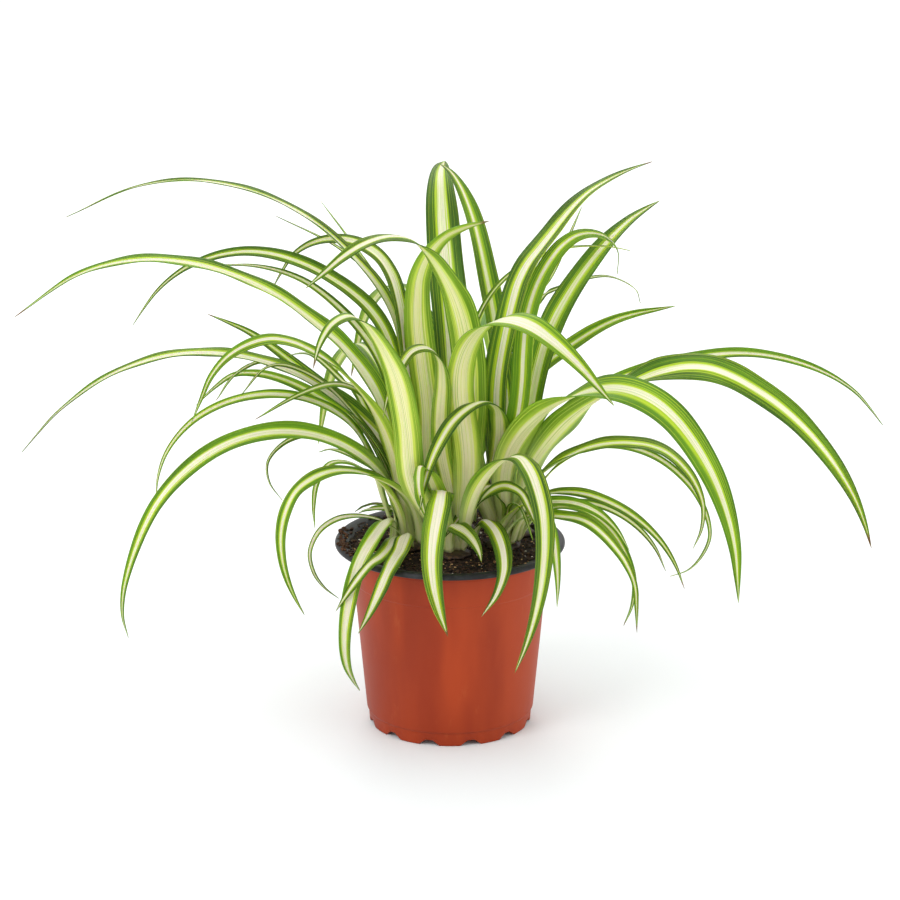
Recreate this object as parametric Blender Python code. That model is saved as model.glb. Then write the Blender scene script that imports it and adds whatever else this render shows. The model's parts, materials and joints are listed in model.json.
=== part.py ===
"""Potted spider plant: a two-tone nursery pot, its soil, six crowns and their arching leaves.

Metres, +Z up. The origin is the centre of the pot's underside, on the surface it stands on.
+X is the plant's right side and -Y is its front.
"""
import math

import bmesh
import bpy
from mathutils import Matrix, Vector
from mathutils.bvhtree import BVHTree

MM = 0.001
SMOOTH_ANGLE = 40.0        # degrees; edges sharper than this stay sharp

# ---- driving dimensions, millimetres ----
POT_HEIGHT = 137.0
LIP_RADIUS = 82.5
LIP_ROUND = 1.5            # how far the lip's edges are rounded
LIP_HOLLOW = 1.8           # fall of the lip's upper face towards the inside
LIP_DEPTH = 3.8
BODY_TOP_RADIUS = 72.5
BODY_FOOT_RADIUS = 61.0
BAND_BOTTOM = 108.0        # lower edge of the slightly thicker upper band
BAND_STEP = 0.7
FOOT_TOP = 11.0            # the wall steps in here, above the scalloped foot
FOOT_STEP = 2.0
FOOT_RING = 4.0            # radial width of the ring that touches the ground
FOOT_ROUND = 0.6
FOOT_CLEARANCE = 5.0       # underside of the floor plate above the ground
SCALLOPS = 12
FIRST_SCALLOP = 15.0       # degrees from +X to the middle of the first one
SCALLOP_HALF_WIDTH = 3.0   # degrees
SCALLOP_HEIGHT = 4.0
WALL = 1.6
FLOOR_PLATE = 2.0
FLOOR_FILLET = 4.0         # slope between the floor plate and the wall inside
POT_SEGMENTS = 72

GAP = 0.3                  # between pieces that touch
SOIL_TOP = 133.0
SOIL_EDGE_DROP = 1.5
SOIL_EDGE_WIDTH = 6.0
SOIL_SEGMENTS = 36

CROWN_HEIGHT = 4.0
CROWN_RADIUS = 13.5
CROWN_SHOULDER = 10.0      # radius of the flat top
CROWN_SIDES = 16

LEAF_THICKNESS = 0.9
LEAF_BASE_WIDTH = 0.45     # share of the full width where a leaf leaves its crown
LEAF_RING_SPACING = 17.0
LEAF_BASE_HEIGHT = SOIL_TOP + 2 * GAP + CROWN_HEIGHT
BASE_BLEND = 5             # midrib points over which a leaf comes onto its own line
LEAF_RISE = 0.3            # share of the length over which a leaf grows to its full width
CURVE_STEPS = 16           # points between two profile points, before they are spaced evenly
LEAF_CHANNEL = 0.20        # depth of the channel as a share of the half width
LEAF_TAPER = {"left": 3.0, "front": 4.0, "right": 4.0, "back": 4.0}   # higher is blunter
BLUNT_LEAVES = {"back_leaf_05": 7.0, "back_leaf_06": 6.0, "front_leaf_05": 5.0}
EASING_ROUNDS = 400
EASING_STEP = 0.8
PUSH_REACH = 2.5           # midrib points to either side that move with a pushed one
LEAF_CLEARANCE = 1.5       # thickness that each leaf is given when leaves are eased apart
LEAF_MARGIN = 0.3          # added to each side of its width then
WHORLS = ((3.5, 3), (8.0, 6), (12.5, 12))   # radius in a crown, and how many leaves start on it
WHORL_SPACING = 6.0        # between neighbours on one whorl

# Crowns: centre on the soil (x, y).
CROWNS = {
    "front": (2.0, -24.0),
    "left": (-30.0, -6.0),
    "left_back": (-25.5, 25.0),
    "right": (38.0, -4.0),
    "back": (6.0, 32.0),
    "far_right": (48.0, 25.0),
}

# One row for each leaf: name, crown, turn, sweep, width, roll, profile.
# turn is the leaf's direction seen from above, in degrees from +X towards +Y, and sweep is how
# far that direction has drifted at the tip. roll is how far its face is turned about its own
# length, at evenly spaced places from the crown to the tip. The profile is (outwards, height) in
# millimetres from near the crown to the tip.
LEAVES = (
    # long leaves to the left
    ("left_leaf_01", "left_back", 170, 0, 21, (-25, -5, -25),
     ((24, 232), (78, 290), (132, 319), (190, 328), (243, 316), (295, 281))),
    ("left_leaf_02", "left_back", 160, 0, 13, (-30, -35, -50),
     ((22, 282), (64, 318), (119, 332), (170, 319), (200, 296), (221, 268))),
    ("left_leaf_03", "left_back", 150, 0, 8, (-20, -35, -35),
     ((30, 258), (80, 304), (125, 315), (173, 311))),
    ("left_leaf_04", "left_back", 150, 0, 15, (-10, 12, -20),
     ((12, 280), (36, 322), (88, 357), (164, 373), (232, 364), (303, 332))),
    ("left_leaf_05", "left_back", 145, 0, 14, (-10, -20, -75),
     ((6, 280), (26, 329), (67, 341), (104, 328), (128, 296))),
    ("left_leaf_06", "left", 195, 0, 16, (-60, -15, 0),
     ((10, 197), (58, 250), (101, 276), (157, 287), (207, 277), (245, 254), (274, 225))),
    ("left_leaf_07", "left_back", 155, 0, 12, (-20, -35, -35),
     ((38, 208), (82, 239), (131, 267), (168, 278))),
    ("left_leaf_08", "left", 210, 0, 14, (40, 35, -20, -45, -40),
     ((23, 228), (62, 278), (107, 301), (146, 289), (169, 250))),
    ("left_leaf_09", "left", 184, 0, 12, (-40, -35, -40),
     ((22, 208), (50, 235), (89, 259), (122, 263), (149, 241))),
    ("left_leaf_10", "left", 201, 0, 10, (-30, -30, -30),
     ((27, 213), (60, 244), (111, 257), (157, 244), (181, 216), (186, 188))),
    ("left_leaf_11", "left", 220, 0, 12, (20, -30, -40),
     ((10, 168), (46, 198), (75, 204), (102, 194), (114, 165), (108, 130), (94, 102))),
    ("left_leaf_12", "left", 205, 0, 16, (-40, -35, -30),
     ((10, 172), (52, 216), (100, 231), (145, 224), (184, 197), (208, 155), (217, 118), (213, 96))),
    ("left_leaf_13", "left", 190, 0, 7, (0, -35, -40),
     ((20, 186), (60, 219), (88, 215), (102, 195), (90, 172))),
    ("left_leaf_14", "left", 214, 0, 9, (30, -10, -40),
     ((14, 172), (39, 200), (62, 207), (77, 190), (78, 160))),
    ("left_leaf_15", "left", 217, 0, 6, (0, -25, -30),
     ((20, 155), (53, 167), (76, 161), (86, 142), (75, 119), (61, 106))),
    # leaves that lean forward and to the left
    ("front_leaf_01", "right", 192, 0, 25, (65, 65, 70, 0, -50),
     ((26, 200), (24, 243), (30, 300), (46, 338), (70, 363), (100, 359), (141, 330))),
    ("front_leaf_02", "front", 230, 0, 20, (35, 35, 30, -10, -40),
     ((38, 204), (52, 240), (72, 295), (104, 329), (132, 324), (145, 300))),
    ("front_leaf_03", "front", 225, 0, 14, (30, 30, 30, -45, -35),
     ((4, 230), (12, 282), (35, 291), (56, 270), (65, 246))),
    ("front_leaf_04", "left_back", 10, 0, 23, (-100, -100, -60),
     ((6, 210), (1, 262), (1, 300), (6, 330), (20, 350), (37, 358), (54, 362))),
    ("front_leaf_05", "front", 248, 20, 18, (0, 0, 0),
     ((15, 175), (42, 190), (63, 174), (81, 149), (90, 128), (97, 106))),
    ("front_leaf_06", "left", 266, -15, 13, (0, 0, 0),
     ((22, 151), (50, 146), (74, 142), (87, 130), (103, 102))),
    ("front_leaf_07", "left", 251, -14, 10, (0, -20, -15),
     ((24, 149), (52, 144), (71, 141), (82, 130), (91, 110))),
    ("front_leaf_08", "left", 246, -8, 12, (0, -15, 0),
     ((15, 160), (41, 155), (68, 144), (88, 118), (93, 96), (86, 70), (64, 43))),
    ("front_leaf_09", "right", 228, 0, 15, (30, 30, 10, -20, -30),
     ((4, 210), (10, 238), (28, 247), (55, 239), (74, 212), (84, 178))),
    # leaves that lean forward and to the right
    ("front_leaf_10", "front", -40, 0, 22, (-35, -40, -20, 40, 45),
     ((4, 256), (12, 285), (34, 309), (64, 314), (103, 298), (142, 269))),
    ("front_leaf_11", "front", -51, -26, 17, (-20, 10, 0),
     ((25, 182), (60, 218), (84, 226), (122, 202), (150, 165), (171, 130), (182, 110))),
    ("front_leaf_12", "right", -63, -6, 9, (0, 20, 10),
     ((25, 166), (55, 179), (80, 168), (95, 143), (101, 119))),
    ("front_leaf_13", "front", -33, 0, 12, (0, 40, 40),
     ((16, 170), (40, 190), (58, 188), (72, 165))),
    ("front_leaf_14", "front", -66, 0, 15, (0, 25, 10),
     ((12, 160), (32, 160), (46, 150), (50, 142))),
    ("front_leaf_15", "front", -42, -34, 14, (0, 15, 10),
     ((16, 160), (38, 157), (56, 149), (70, 141), (80, 126), (81, 114))),
    # long leaves to the right
    ("right_leaf_01", "right", -30, -10, 24, (-50, -40, 45, 45, 40),
     ((8, 197), (46, 244), (90, 263), (129, 256), (168, 223), (194, 180), (206, 136))),
    ("right_leaf_02", "right", -18, -6, 23, (-45, -60, 45, 45, 50),
     ((6, 180), (42, 227), (84, 257), (142, 279), (190, 264), (231, 234), (261, 196), (273, 168))),
    ("right_leaf_03", "right", 12, 0, 10, (20, 35, 45),
     ((20, 200), (69, 245), (120, 261), (172, 266), (218, 256), (258, 234), (283, 205))),
    ("right_leaf_04", "right", -45, -5, 11, (0, 45, 25),
     ((28, 184), (68, 216), (115, 235), (160, 239), (190, 224), (201, 204), (194, 180))),
    ("right_leaf_05", "right", -35, 0, 6, (0, 30, 30),
     ((40, 195), (85, 222), (128, 221), (161, 199), (171, 172), (156, 146), (140, 137))),
    ("right_leaf_06", "right", -50, 0, 8, (0, 40, 20),
     ((30, 172), (71, 190), (119, 192), (155, 182), (175, 168), (187, 150))),
    ("right_leaf_07", "right", -55, 0, 9, (0, 45, 30),
     ((28, 166), (65, 183), (100, 188), (127, 183), (147, 169))),
    ("right_leaf_08", "right", -60, 0, 9, (20, 40, 15),
     ((26, 160), (75, 176), (112, 182), (148, 174), (171, 158), (176, 122))),
    ("right_leaf_09", "right", -40, 0, 7, (10, 30, 25),
     ((30, 161), (64, 175), (94, 167), (114, 143), (118, 122), (109, 97))),
    ("right_leaf_10", "right", -15, 0, 6, (20, 35, 35),
     ((25, 160), (60, 170), (90, 161), (110, 142), (119, 124))),
    # upright and backward leaves
    ("back_leaf_01", "right", 60, -10, 18, (10, 10, 0),
     ((5, 240), (17, 322), (55, 348), (98, 371), (134, 380), (171, 385))),
    ("back_leaf_02", "right", 45, 0, 15, (20, 30, 50),
     ((6, 240), (30, 315), (65, 346), (98, 345), (118, 330), (118, 312))),
    ("back_leaf_03", "far_right", 48, 0, 20, (10, 20, 20),
     ((12, 210), (32, 272), (58, 302), (90, 326), (124, 343), (160, 352))),
    ("back_leaf_04", "back", 22, 0, 13, (30, 40, 45),
     ((14, 190), (44, 232), (80, 258), (122, 278), (172, 284))),
    ("back_leaf_05", "back", 108, -14, 27, (0, 0, 0),
     ((12, 240), (42, 318), (78, 360), (108, 374), (140, 376))),
    ("back_leaf_06", "far_right", 118, 0, 17, (0, 0, 0),
     ((18, 230), (44, 310), (68, 355), (95, 378), (118, 383))),
    ("back_leaf_07", "back", 28, 0, 6, (10, 10, 10),
     ((12, 280), (36, 315), (79, 332), (118, 331), (142, 325))),
    ("back_leaf_08", "back", 80, 0, 18, (0, 0, 0),
     ((15, 200), (48, 254), (94, 272), (140, 243), (172, 182))),
    ("back_leaf_09", "back", 100, 0, 19, (0, 0, 0),
     ((18, 195), (54, 242), (102, 256), (146, 224), (172, 160))),
    ("back_leaf_10", "back", 118, 0, 17, (0, 0, 0),
     ((15, 215), (50, 276), (98, 294), (146, 262), (174, 205))),
    ("back_leaf_11", "back", 90, 0, 15, (0, 0, 0),
     ((22, 165), (62, 195), (110, 186), (148, 140), (163, 90))),
    ("back_leaf_12", "left_back", 115, 0, 15, (0, 0, 0),
     ((18, 190), (52, 235), (100, 250), (150, 215), (180, 150))),
)

COLOURS = {
    "pot": ((0.40, 0.075, 0.032), 0.55),
    "soil": ((0.026, 0.017, 0.012), 0.95),
    "crown": ((0.62, 0.66, 0.42), 0.55),
    "leaf": ((0.20, 0.36, 0.06), 0.42),
}


def clear_scene():
    for obj in list(bpy.data.objects):
        bpy.data.objects.remove(obj, do_unlink=True)


def make_material(name):
    colour, roughness = COLOURS[name]
    material = bpy.data.materials.new(name)
    material.use_nodes = True
    shader = material.node_tree.nodes["Principled BSDF"]
    shader.inputs["Base Color"].default_value = (*colour, 1.0)
    shader.inputs["Roughness"].default_value = roughness
    shader.inputs["Metallic"].default_value = 0.0
    return material


def add_object(name, bm, material):
    """Write a bmesh given in millimetres to a new object in metres."""
    bmesh.ops.scale(bm, verts=bm.verts, vec=(MM, MM, MM))
    bmesh.ops.recalc_face_normals(bm, faces=bm.faces)
    mesh = bpy.data.meshes.new(name)
    bm.to_mesh(mesh)
    bm.free()
    mesh.shade_smooth()
    mesh.set_sharp_from_angle(angle=math.radians(SMOOTH_ANGLE))
    mesh.materials.append(material)
    obj = bpy.data.objects.new(name, mesh)
    bpy.context.scene.collection.objects.link(obj)
    return obj


def turn_profile(profile, segments):
    """Spin an outline of (radius, height) points, whose ends are on the axis, into a solid."""
    bm = bmesh.new()
    verts = [bm.verts.new((radius, 0.0, height)) for radius, height in profile]
    edges = [bm.edges.new(pair) for pair in zip(verts, verts[1:])]
    bmesh.ops.spin(bm, geom=verts + edges, cent=(0, 0, 0), axis=(0, 0, 1),
                   angle=math.tau, steps=segments, use_merge=True)
    bmesh.ops.remove_doubles(bm, verts=bm.verts, dist=0.001)
    return bm


# ---- pot and soil ----
def body_radius(height):
    """Outer radius of the tapered wall."""
    share = (height - FOOT_TOP) / (POT_HEIGHT - LIP_DEPTH - FOOT_TOP)
    return BODY_FOOT_RADIUS + share * (BODY_TOP_RADIUS - BODY_FOOT_RADIUS)


def inner_radius(height):
    return body_radius(height) - BAND_STEP - WALL


def build_pot(material):
    lip_bottom = POT_HEIGHT - LIP_DEPTH
    foot_radius = BODY_FOOT_RADIUS - FOOT_STEP
    plate_top = FOOT_CLEARANCE + FLOOR_PLATE
    outline = [
        (0.0, FOOT_CLEARANCE),
        (foot_radius - FOOT_RING, FOOT_CLEARANCE),
        (foot_radius - FOOT_RING, 0.0),
        (foot_radius - FOOT_ROUND, 0.0),
        (foot_radius, FOOT_TOP - FOOT_STEP),
        (BODY_FOOT_RADIUS - BAND_STEP, FOOT_TOP),
        (body_radius(BAND_BOTTOM) - BAND_STEP, BAND_BOTTOM),
        (body_radius(BAND_BOTTOM), BAND_BOTTOM + BAND_STEP),
        (body_radius(lip_bottom), lip_bottom),
        (LIP_RADIUS - LIP_ROUND, lip_bottom - LIP_ROUND / 3),
        (LIP_RADIUS, lip_bottom + LIP_ROUND / 3),
        (LIP_RADIUS, POT_HEIGHT - LIP_ROUND),
        (LIP_RADIUS - LIP_ROUND, POT_HEIGHT),
        (LIP_RADIUS - 3 * LIP_ROUND, POT_HEIGHT),
        (BODY_TOP_RADIUS, POT_HEIGHT - LIP_HOLLOW),
        (BODY_TOP_RADIUS - LIP_ROUND, POT_HEIGHT - 2 * LIP_HOLLOW),
        (inner_radius(lip_bottom), lip_bottom - LIP_HOLLOW),
        (inner_radius(plate_top + FLOOR_FILLET), plate_top + FLOOR_FILLET),
        (inner_radius(plate_top) - FLOOR_FILLET, plate_top),
        (0.0, plate_top),
    ]
    bm = turn_profile(outline, POT_SEGMENTS)
    # Short stretches of the foot ring are raised, which leaves the scallops.
    spacing = 360.0 / SCALLOPS
    for vert in bm.verts:
        if abs(vert.co.z) < 0.01:
            angle = math.degrees(math.atan2(vert.co.y, vert.co.x))
            past = (angle - FIRST_SCALLOP + 0.5 * spacing) % spacing - 0.5 * spacing
            if abs(past) < SCALLOP_HALF_WIDTH:
                vert.co.z += SCALLOP_HEIGHT
    return add_object("pot", bm, material)


def build_soil(material):
    plate_top = FOOT_CLEARANCE + FLOOR_PLATE
    edge_top = SOIL_TOP - SOIL_EDGE_DROP
    outline = [
        (0.0, plate_top + GAP),
        (inner_radius(plate_top) - FLOOR_FILLET - GAP, plate_top + GAP),
        (inner_radius(plate_top + FLOOR_FILLET) - GAP, plate_top + FLOOR_FILLET + GAP),
        (inner_radius(edge_top) - GAP, edge_top),
        (inner_radius(edge_top) - SOIL_EDGE_WIDTH, SOIL_TOP),
        (0.0, SOIL_TOP),
    ]
    return add_object("soil", turn_profile(outline, SOIL_SEGMENTS), material)


def build_crown(name, centre, material):
    """A short blunt stem base that stands on the soil."""
    bottom = SOIL_TOP + GAP
    outline = [
        (0.0, bottom),
        (CROWN_RADIUS, bottom),
        (CROWN_RADIUS, bottom + CROWN_HEIGHT / 2),
        (CROWN_SHOULDER, bottom + CROWN_HEIGHT),
        (0.0, bottom + CROWN_HEIGHT),
    ]
    bm = turn_profile(outline, CROWN_SIDES)
    bmesh.ops.translate(bm, verts=bm.verts, vec=(centre[0], centre[1], 0.0))
    return add_object(f"{name}_crown", bm, material)


# ---- leaves ----
def smooth_curve(points):
    """Evenly spaced points on a centripetal Catmull-Rom curve through the given points."""
    pts = [2 * points[0] - points[1], *points, 2 * points[-1] - points[-2]]
    dense = []
    for p0, p1, p2, p3 in zip(pts, pts[1:], pts[2:], pts[3:]):
        t1 = math.sqrt((p1 - p0).length)
        t2 = t1 + math.sqrt((p2 - p1).length)
        t3 = t2 + math.sqrt((p3 - p2).length)
        for step in range(CURVE_STEPS):
            t = t1 + (t2 - t1) * step / CURVE_STEPS
            a1 = p0 * ((t1 - t) / t1) + p1 * (t / t1)
            a2 = p1 * ((t2 - t) / (t2 - t1)) + p2 * ((t - t1) / (t2 - t1))
            a3 = p2 * ((t3 - t) / (t3 - t2)) + p3 * ((t - t2) / (t3 - t2))
            b1 = a1 * ((t2 - t) / t2) + a2 * (t / t2)
            b2 = a2 * ((t3 - t) / (t3 - t1)) + a3 * ((t - t1) / (t3 - t1))
            dense.append(b1 * ((t2 - t) / (t2 - t1)) + b2 * ((t - t1) / (t2 - t1)))
    dense.append(pts[-2])
    lengths = [0.0]
    for a, b in zip(dense, dense[1:]):
        lengths.append(lengths[-1] + (b - a).length)
    count = max(9, round(lengths[-1] / LEAF_RING_SPACING) + 1)
    result = []
    index = 0
    for step in range(count):
        target = lengths[-1] * step / (count - 1)
        while index < len(dense) - 2 and lengths[index + 1] < target:
            index += 1
        share = (target - lengths[index]) / (lengths[index + 1] - lengths[index])
        result.append(dense[index].lerp(dense[index + 1], share))
    return result


def width_share(u, taper):
    """Width along a strap leaf: narrow at the crown, full by a third, then a taper to the tip."""
    rise = min(1.0, u / LEAF_RISE)
    rise = rise * rise * (3 - 2 * rise)
    base = LEAF_BASE_WIDTH + (1 - LEAF_BASE_WIDTH) * rise
    return base * (1 - u ** taper)


def roll_at(roll, u):
    """Roll along the leaf, in a straight line between evenly spaced values."""
    at = min(u, 0.9999) * (len(roll) - 1)
    before = int(at)
    return math.radians(roll[before] + (roll[before + 1] - roll[before]) * (at - before))


class Leaf:
    """One leaf: its midrib points, and the way its face looks at each of them."""

    def __init__(self, row, start_radius, start_angle):
        self.name, crown, turn, sweep, self.width, self.roll, profile = row
        self.taper = BLUNT_LEAVES.get(self.name, LEAF_TAPER[self.name.split("_")[0]])
        centre = Vector((*CROWNS[crown], 0.0))
        self.turn, self.sweep = turn, sweep
        start = Vector((start_radius, LEAF_BASE_HEIGHT))
        flat = smooth_curve([start, *(Vector(point) for point in profile)])
        last = len(flat) - 1
        self.mid = []
        for i, (out, up) in enumerate(flat):
            angle = math.radians(turn + sweep * (i / last) ** 2)
            self.mid.append(centre + Vector((out * math.cos(angle), out * math.sin(angle), up)))
        # The leaf leaves its own place on the whorl, and is on its own line a few rings later.
        place = centre + Vector((start_radius * math.cos(start_angle),
                                 start_radius * math.sin(start_angle), LEAF_BASE_HEIGHT))
        offset = place - self.mid[0]
        for i in range(BASE_BLEND):
            self.mid[i] = self.mid[i] + offset * (1 - i / BASE_BLEND) ** 2

    def rings(self, thickness, extra=0.0):
        """Left edge, upper mid, right edge and lower mid at each midrib point but the last."""
        last = len(self.mid) - 1
        sections = []
        for i in range(last):
            u = i / last
            tangent = (self.mid[min(i + 1, last)] - self.mid[max(i - 1, 0)]).normalized()
            angle = math.radians(self.turn + self.sweep * u * u)
            side = Vector((math.sin(angle), -math.cos(angle), 0.0))
            side = (side - tangent * side.dot(tangent)).normalized()
            side = Matrix.Rotation(roll_at(self.roll, u), 3, tangent) @ side
            normal = side.cross(tangent)
            half = 0.5 * self.width * width_share(u, self.taper) + extra
            lift = normal * (LEAF_CHANNEL * half)
            depth = normal * (0.5 * thickness * (1 - 0.5 * u))
            centre = self.mid[i]
            sections.append([centre - side * half + lift, centre + depth,
                             centre + side * half + lift, centre - depth])
        for corner in sections[0]:
            corner.z = LEAF_BASE_HEIGHT
        return sections

    def triangles(self, thickness, extra=0.0):
        """Vertices and triangles of the closed solid."""
        sections = self.rings(thickness, extra)
        points = [corner for section in sections for corner in section]
        points.append(self.mid[-1])
        tip = len(points) - 1
        faces = [(0, 1, 2), (0, 2, 3)]
        for i in range(len(sections) - 1):
            for a, b in ((0, 1), (2, 1), (2, 3), (0, 3)):
                low_a, low_b, high_a, high_b = 4 * i + a, 4 * i + b, 4 * i + 4 + a, 4 * i + 4 + b
                faces.append((low_a, low_b, high_b))
                faces.append((low_a, high_b, high_a))
        end = 4 * (len(sections) - 1)
        faces += [(end + a, end + (a + 1) % 4, tip) for a in range(4)]
        return points, faces

    def push(self, index, shift):
        """Move the leaf near one midrib point, with a smooth fall to either side."""
        for i, point in enumerate(self.mid):
            weight = math.exp(-((i - index) / PUSH_REACH) ** 2)
            rise = shift.z * min(1.0, i / 3)
            self.mid[i] = point + Vector((shift.x, shift.y, rise)) * weight


def grow_leaves():
    """Place every leaf: in each crown, the leaf that rises highest starts innermost."""
    leaves = []
    for crown in CROWNS:
        rows = [row for row in LEAVES if row[1] == crown]
        rows.sort(key=lambda row: -max(up for _, up in row[6]))
        for radius, room in WHORLS:
            whorl = sorted(rows[:room], key=lambda row: row[2] + 0.5 * row[3])
            rows = rows[room:]
            middle = sum(row[2] for row in whorl) / max(1, len(whorl))
            step = min(math.tau / max(1, len(whorl)), WHORL_SPACING / radius)
            for place, row in enumerate(whorl):
                angle = math.radians(middle) + (place - 0.5 * (len(whorl) - 1)) * step
                leaves.append(Leaf(row, radius, angle))
    return leaves


def leaf_trees(leaves):
    trees = []
    for leaf in leaves:
        points, faces = leaf.triangles(LEAF_CLEARANCE, LEAF_MARGIN)
        trees.append(BVHTree.FromPolygons(points, faces))
    return trees


def crossing_pairs(leaves, trees):
    boxes = []
    for leaf in leaves:
        pad = 0.5 * leaf.width + 1.0
        low = [min(p[k] for p in leaf.mid) - pad for k in range(3)]
        high = [max(p[k] for p in leaf.mid) + pad for k in range(3)]
        boxes.append((low, high))
    pairs = []
    for i in range(len(leaves)):
        for j in range(i + 1, len(leaves)):
            low_i, high_i = boxes[i]
            low_j, high_j = boxes[j]
            if all(low_i[k] < high_j[k] and low_j[k] < high_i[k] for k in range(3)):
                hits = trees[i].overlap(trees[j])
                if hits:
                    pairs.append((i, j, hits))
    return pairs


def ring_of(face):
    """The midrib point that a triangle of Leaf.triangles starts from."""
    return max(0, (face - 2) // 8)


def push_direction(first, at_first, second, at_second):
    """The way in which the first leaf gets clear of the second soonest."""
    along_first = (first.mid[at_first + 1] - first.mid[at_first]).normalized()
    along_second = (second.mid[at_second + 1] - second.mid[at_second]).normalized()
    apart = first.mid[at_first] - second.mid[at_second]
    across = along_first.cross(along_second)
    if across.length > 0.35:
        return across.normalized() * (1 if apart.dot(across) >= 0 else -1)
    apart -= along_first * apart.dot(along_first)
    return apart.normalized()


def separate(leaves, obstacles):
    """Ease leaves that cross apart, as growing leaves slide past each other."""
    for _ in range(EASING_ROUNDS):
        trees = leaf_trees(leaves)
        busy = False
        for leaf, tree in zip(leaves, trees):
            for obstacle in obstacles:
                for ring in {ring_of(a) for a, _ in tree.overlap(obstacle)}:
                    busy = True
                    outward = Vector((leaf.mid[ring].x, leaf.mid[ring].y, 0.0)).normalized()
                    over = leaf.mid[ring].z > POT_HEIGHT - LIP_DEPTH
                    leaf.push(ring + 0.5, (Vector((0, 0, 1)) if over else outward) * EASING_STEP)
        for i, j, hits in crossing_pairs(leaves, trees):
            busy = True
            first, second = leaves[i], leaves[j]
            places = {(min(ring_of(a), len(first.mid) - 2), min(ring_of(b), len(second.mid) - 2))
                      for a, b in hits}
            for at_first, at_second in sorted(places):
                shift = push_direction(first, at_first, second, at_second)
                shift *= EASING_STEP / len(places)
                first.push(at_first + 0.5, shift)
                second.push(at_second + 0.5, -shift)
        if not busy:
            break


def build_leaf(leaf, material):
    points, faces = leaf.triangles(LEAF_THICKNESS)
    bm = bmesh.new()
    verts = [bm.verts.new(point) for point in points]
    for face in faces:
        bm.faces.new([verts[i] for i in face])
    return add_object(leaf.name, bm, material)


def tree_of(obj):
    """Collision tree of a finished object, in millimetres."""
    points = [vert.co / MM for vert in obj.data.vertices]
    return BVHTree.FromPolygons(points, [tuple(face.vertices) for face in obj.data.polygons])


def main():
    clear_scene()
    materials = {name: make_material(name) for name in COLOURS}
    ground = [build_pot(materials["pot"]), build_soil(materials["soil"])]
    for name, centre in CROWNS.items():
        ground.append(build_crown(name, centre, materials["crown"]))
    leaves = grow_leaves()
    separate(leaves, [tree_of(obj) for obj in ground])
    for leaf in leaves:
        build_leaf(leaf, materials["leaf"])
    crossing = len(crossing_pairs(leaves, leaf_trees(leaves)))
    print(len(leaves), "leaves,", crossing, "pairs still crossing")


if __name__ == "__main__":
    main()
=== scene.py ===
# %% [markdown]
# # A potted spider plant
# A spider plant is a bunch of long strap leaves that arch out of short crowns. Each leaf is a
# shallow channel with a cream stripe down its middle and green margins, and its underside is
# paler. This one stands in a plastic nursery pot: terracotta outside, black inside and on the lip.
# The frame below gives every piece its place. Only the thin young leaves, which it lacks, are
# grown here.

# %% Load the frame
import json
import math
import random

import bmesh
import bpy
from mathutils import Matrix, Vector, noise

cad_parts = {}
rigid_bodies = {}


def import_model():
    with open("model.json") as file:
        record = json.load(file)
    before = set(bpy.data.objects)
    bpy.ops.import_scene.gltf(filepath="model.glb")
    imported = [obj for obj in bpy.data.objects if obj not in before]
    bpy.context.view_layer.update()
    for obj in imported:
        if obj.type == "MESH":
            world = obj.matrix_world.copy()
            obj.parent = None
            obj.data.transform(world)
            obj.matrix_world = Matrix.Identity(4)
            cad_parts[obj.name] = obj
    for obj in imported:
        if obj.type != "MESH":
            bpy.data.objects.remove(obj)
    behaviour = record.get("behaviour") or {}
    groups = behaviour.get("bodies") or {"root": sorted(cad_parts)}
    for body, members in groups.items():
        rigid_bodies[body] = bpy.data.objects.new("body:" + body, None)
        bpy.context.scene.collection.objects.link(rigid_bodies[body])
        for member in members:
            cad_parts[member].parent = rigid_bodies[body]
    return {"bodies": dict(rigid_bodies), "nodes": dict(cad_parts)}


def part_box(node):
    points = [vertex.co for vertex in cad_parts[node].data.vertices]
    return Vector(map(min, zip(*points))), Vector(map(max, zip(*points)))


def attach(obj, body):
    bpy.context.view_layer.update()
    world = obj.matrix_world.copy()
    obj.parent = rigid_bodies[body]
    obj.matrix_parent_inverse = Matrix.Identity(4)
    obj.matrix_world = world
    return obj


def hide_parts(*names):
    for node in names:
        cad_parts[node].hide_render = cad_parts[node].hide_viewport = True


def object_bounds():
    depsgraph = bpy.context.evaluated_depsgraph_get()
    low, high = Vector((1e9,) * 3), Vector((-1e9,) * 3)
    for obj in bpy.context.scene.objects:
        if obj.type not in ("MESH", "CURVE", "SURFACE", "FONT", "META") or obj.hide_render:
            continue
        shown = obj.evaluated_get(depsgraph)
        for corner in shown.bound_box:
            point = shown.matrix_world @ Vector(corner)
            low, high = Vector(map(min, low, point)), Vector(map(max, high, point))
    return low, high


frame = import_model()

MM = 0.001
cad_low, cad_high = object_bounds()
frame_objects = [*frame["nodes"].values(), *frame["bodies"].values()]
for obj in list(bpy.data.objects):
    if obj not in frame_objects:
        bpy.data.objects.remove(obj, do_unlink=True)
print("frame box in mm", [round(v / MM) for v in (*cad_low, *cad_high)])

# %% [markdown]
# ## Camera
# A product shot of a plant is taken with a long lens from a little above, so that the soil shows
# and the leaves aren't stretched. The camera aims at the middle of the plant's height.

# %% Camera
VIEW_PITCH = math.radians(17)
VIEW_DISTANCE = 2.40
LENS = 135.0
aim = Vector((0.0, 0.0, 0.5273 * cad_high.z))
camera_data = bpy.data.cameras.new("camera")
camera_data.lens = LENS
camera = bpy.data.objects.new("camera", camera_data)
bpy.context.scene.collection.objects.link(camera)
camera.location = aim + VIEW_DISTANCE * Vector((0.0, -math.cos(VIEW_PITCH), math.sin(VIEW_PITCH)))
camera.rotation_euler = (math.pi / 2 - VIEW_PITCH, 0.0, 0.0)
bpy.context.scene.camera = camera
print("camera", [round(v, 3) for v in camera.location])

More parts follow.
